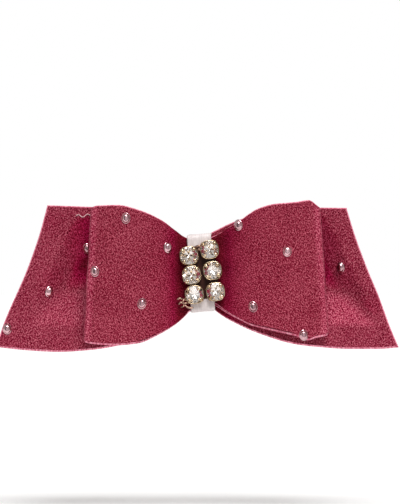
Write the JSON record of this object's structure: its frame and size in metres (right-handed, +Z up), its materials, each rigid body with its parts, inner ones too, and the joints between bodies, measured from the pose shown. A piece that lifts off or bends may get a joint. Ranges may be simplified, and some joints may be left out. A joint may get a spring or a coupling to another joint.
{
  "type": "barrette",
  "caption": "Hair barrette: looped fabric bow with slanted tails, satin centre wrap, cup-set crystal block and silver studs on a curved clip that opens and latches.",
  "frame": {"origin": "middle of the hair gap between the tension bar and the clasp arm, half way along the clip", "axes": "+X along the clip towards its hinge, +Y towards the head, +Z up as worn; the bow faces -Y"},
  "size_m": [0.1065, 0.0246, 0.0396],
  "materials": {
    "bow_fabric": "matte crepe",
    "satin_ribbon": "soft satin",
    "pad_felt": "felt",
    "thread": "twisted thread",
    "clip_steel": "nickel plated",
    "spring_steel": "rolled spring strip",
    "rivet_steel": "nickel plated",
    "cup_brass": "polished, worn gilt",
    "crystal_glass": "faceted, foil-backed",
    "stud_silver": "metallised gloss"
  },
  "bodies": {
    "bow_and_base": {"base_plate": "clip_steel", "hinge_pin": "rivet_steel", "glue_pad": "pad_felt", "tails": "bow_fabric", "front_bow": "bow_fabric", "pinch_thread": "thread", "centre_wrap": "satin_ribbon", "cup_left_top": "cup_brass", "cup_left_middle": "cup_brass", "cup_left_bottom": "cup_brass", "cup_right_top": "cup_brass", "cup_right_middle": "cup_brass", "cup_right_bottom": "cup_brass", "crystal_left_top": "crystal_glass", "crystal_left_middle": "crystal_glass", "crystal_left_bottom": "crystal_glass", "crystal_right_top": "crystal_glass", "crystal_right_middle": "crystal_glass", "crystal_right_bottom": "crystal_glass", "link_left_upper": "cup_brass", "link_left_lower": "cup_brass", "link_right_upper": "cup_brass", "link_right_lower": "cup_brass", "chain_tail": "cup_brass", "stud_tail_1": "stud_silver", "stud_tail_2": "stud_silver", "stud_tail_3": "stud_silver", "stud_tail_4": "stud_silver", "stud_loop_1": "stud_silver", "stud_loop_2": "stud_silver", "stud_loop_3": "stud_silver", "stud_loop_4": "stud_silver", "stud_loop_5": "stud_silver", "stud_loop_6": "stud_silver", "stud_loop_7": "stud_silver", "stud_loop_8": "stud_silver"},
    "clasp_arm": {"clasp_arm": "clip_steel"},
    "tension_bar": {"tension_bar": "spring_steel"},
    "catch_prong_upper": {"catch_prong_upper": "clip_steel"},
    "catch_prong_lower": {"catch_prong_lower": "clip_steel"}
  },
  "joints": [
    {"name": "clasp_swing", "type": "hinge", "parent": "bow_and_base", "child": "clasp_arm", "pos_m": [0.037, 0.00031, 0], "axis": [0, 0, -1], "range_deg": [0, 75]},
    {"name": "tension_bar_flex", "type": "hinge", "parent": "bow_and_base", "child": "tension_bar", "pos_m": [0.037, 0.00031, 0], "axis": [0, 0, 1], "range_deg": [0, 1.2], "stiffness_Nm_per_rad": 0.5},
    {"name": "catch_squeeze_upper", "type": "hinge", "parent": "bow_and_base", "child": "catch_prong_upper", "pos_m": [-0.038, -0.00169, 0.00285], "axis": [-1, 0, 0], "range_deg": [0, 7], "stiffness_Nm_per_rad": 0.02},
    {"name": "catch_squeeze_lower", "type": "hinge", "parent": "bow_and_base", "child": "catch_prong_lower", "pos_m": [-0.038, -0.00169, -0.00285], "axis": [1, 0, 0], "range_deg": [0, 7], "stiffness_Nm_per_rad": 0.02}
  ],
  "couplings": [
    {"joint": "catch_squeeze_lower", "follows": "catch_squeeze_upper", "ratio": 1}
  ]
}
